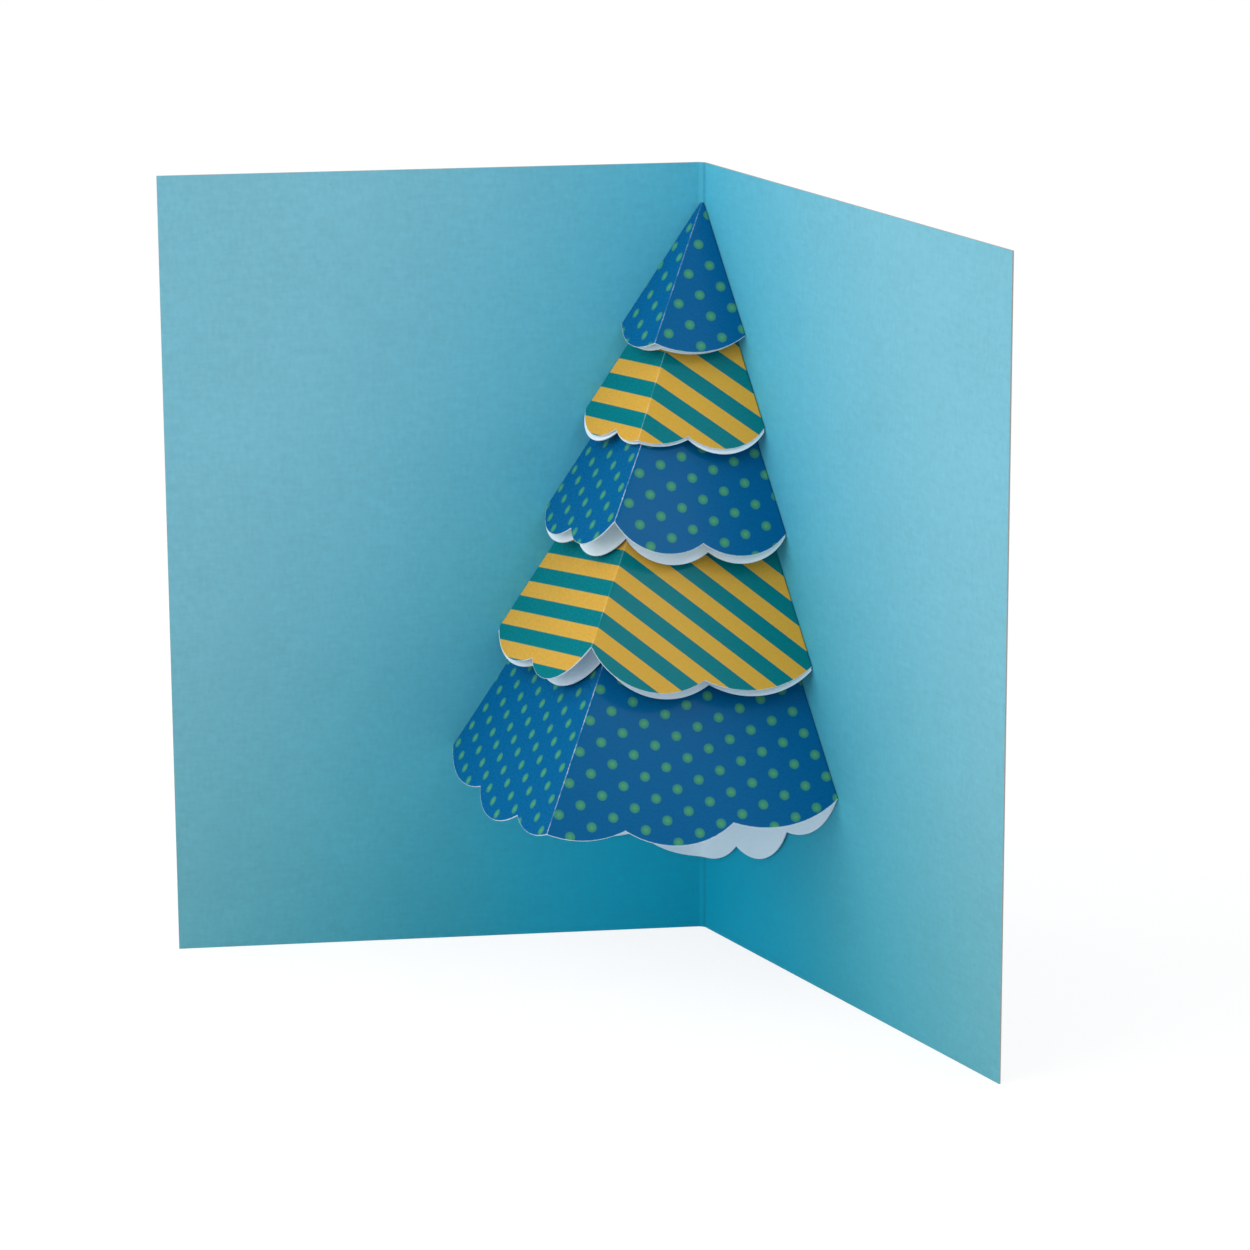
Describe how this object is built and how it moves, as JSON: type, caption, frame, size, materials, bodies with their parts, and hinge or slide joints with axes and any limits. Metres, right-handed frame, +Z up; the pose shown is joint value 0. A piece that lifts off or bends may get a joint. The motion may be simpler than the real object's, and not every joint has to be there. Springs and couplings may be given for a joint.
{
  "type": "pop up card",
  "caption": "Folded greeting card standing open at an obtuse angle, with a stack of folded, scallop-edged paper tiers across its fold that stand out as a Christmas tree.",
  "frame": {"origin": "on the edge the card stands on, where the planes of its two inside faces meet at the fold", "axes": "+Z up along the fold, -Y out of the open card towards the reader, +X to the reader's right along the opening"},
  "size_m": [0.1926, 0.0741, 0.17],
  "materials": {
    "card_stock": "matte",
    "dotted_paper": "satin",
    "striped_paper": "satin"
  },
  "bodies": {
    "root": {"card_base": "card_stock", "tree_tier_1": "dotted_paper", "tree_tier_2": "striped_paper", "tree_tier_3": "dotted_paper", "tree_tier_4": "striped_paper", "tree_tier_5": "dotted_paper"}
  },
  "joints": []
}
